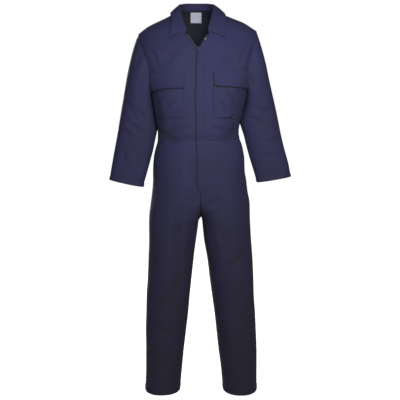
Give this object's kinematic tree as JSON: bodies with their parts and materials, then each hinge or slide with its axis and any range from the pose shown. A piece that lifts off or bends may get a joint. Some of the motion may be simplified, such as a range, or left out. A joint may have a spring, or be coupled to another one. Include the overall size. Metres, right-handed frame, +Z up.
{
  "type": "boiler suit",
  "caption": "Long-sleeved one-piece boiler suit in its worn, hollow form, with a shirt collar, a covered front zip, flapped chest pockets and straight legs.",
  "frame": {"origin": "midway between the two side neck points, level with the wearer's shoulders at the neck", "axes": "+Z up along the wearer's body, +X to the wearer's left, front facing -Y"},
  "size_m": [0.7724, 0.2867, 1.6657],
  "materials": {
    "navy_twill": "matt twill",
    "zip_tape": "woven tape",
    "label": "satin weave",
    "enamel": "satin enamel",
    "nickel": "satin"
  },
  "bodies": {
    "suit": {"back_bodice": "navy_twill", "back_leg_left": "navy_twill", "back_leg_right": "navy_twill", "chest_pocket_left": "navy_twill", "chest_pocket_right": "navy_twill", "collar": "navy_twill", "fly_placket": "navy_twill", "front_bodice_left": "navy_twill", "front_bodice_right": "navy_twill", "front_leg_left": "navy_twill", "front_leg_right": "navy_twill", "neck_label": "label", "neck_stud": "nickel", "pocket_flap_left": "navy_twill", "pocket_flap_right": "navy_twill", "side_tab": "navy_twill", "sleeve_left": "navy_twill", "sleeve_right": "navy_twill", "zip_slider": "enamel", "zip_tape_left": "zip_tape", "zip_tape_right": "zip_tape"},
    "pull_tab": {"pull_tab": "enamel"}
  },
  "joints": [
    {"name": "pull_swing", "type": "hinge", "parent": "suit", "child": "pull_tab", "pos_m": [-0.0092, -0.12349, -0.15375], "axis": [-1, 0, 0], "range_deg": [0, 150]}
  ]
}
